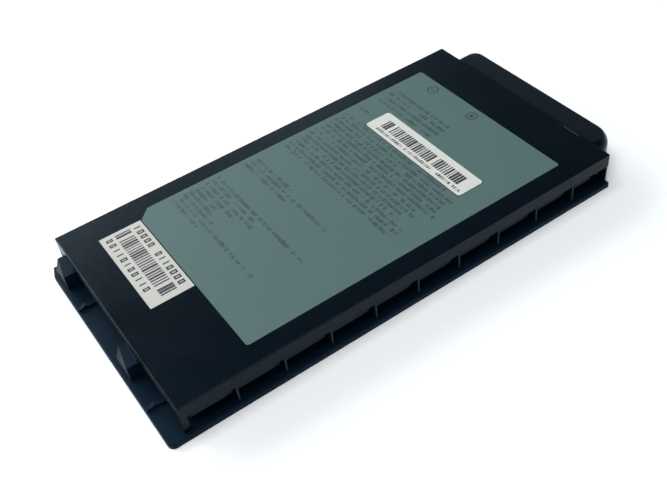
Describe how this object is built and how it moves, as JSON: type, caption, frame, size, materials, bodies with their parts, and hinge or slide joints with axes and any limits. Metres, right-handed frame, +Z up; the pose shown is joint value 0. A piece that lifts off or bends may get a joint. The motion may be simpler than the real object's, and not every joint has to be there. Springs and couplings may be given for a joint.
{
  "type": "laptop battery",
  "caption": "Flat laptop battery pack: black ribbed case on a flange, catches at one end, a rolled nose with a slotted contact block, a teal label and white stickers.",
  "frame": {"origin": "centre of the base's underside, under the middle of the pack's box", "axes": "+X along the pack towards the nose, +Y from the front long side to the back, +Z up out of the label side"},
  "size_m": [0.1774, 0.0874, 0.0129],
  "materials": {
    "case_plastic": "moulded black, fine matt grain",
    "cover_plastic": "moulded black, fine matt grain",
    "label_film": "satin printed film",
    "sticker_paper": "coated white paper",
    "pouch_foil": "satin laminated foil",
    "tab_metal": "rolled nickel strip",
    "board_laminate": "solder mask, satin",
    "chip_epoxy": "moulded epoxy, matt",
    "ceramic_body": "fired ceramic, matt",
    "bead_epoxy": "dipped epoxy, glossy",
    "insulating_sheet": "fibre sheet, matt",
    "adhesive_tape": "translucent adhesive film",
    "foam": "open cell foam",
    "contact_housing": "moulded, satin",
    "contact_metal": "gold flash over bronze"
  },
  "bodies": {
    "root": {"bottom_case": "case_plastic", "top_cover": "cover_plastic", "main_label": "label_film", "serial_sticker": "sticker_paper", "part_sticker": "sticker_paper", "cell_1": "pouch_foil", "cell_1_tabs": "tab_metal", "cell_tape_1": "adhesive_tape", "foam_pad_1": "foam", "cell_2": "pouch_foil", "cell_2_tabs": "tab_metal", "cell_tape_2": "adhesive_tape", "foam_pad_2": "foam", "cell_3": "pouch_foil", "cell_3_tabs": "tab_metal", "cell_tape_3": "adhesive_tape", "foam_pad_3": "foam", "series_link_1": "tab_metal", "series_link_2": "tab_metal", "negative_strip": "tab_metal", "positive_strip": "tab_metal", "protection_board": "board_laminate", "board_insulator": "insulating_sheet", "gauge_chip": "chip_epoxy", "charge_switch": "chip_epoxy", "discharge_switch": "chip_epoxy", "board_fuse": "ceramic_body", "sense_resistor": "chip_epoxy", "board_capacitors": "ceramic_body", "thermistor": "bead_epoxy", "connector_housing": "contact_housing", "connector_contacts": "contact_metal"}
  },
  "joints": []
}
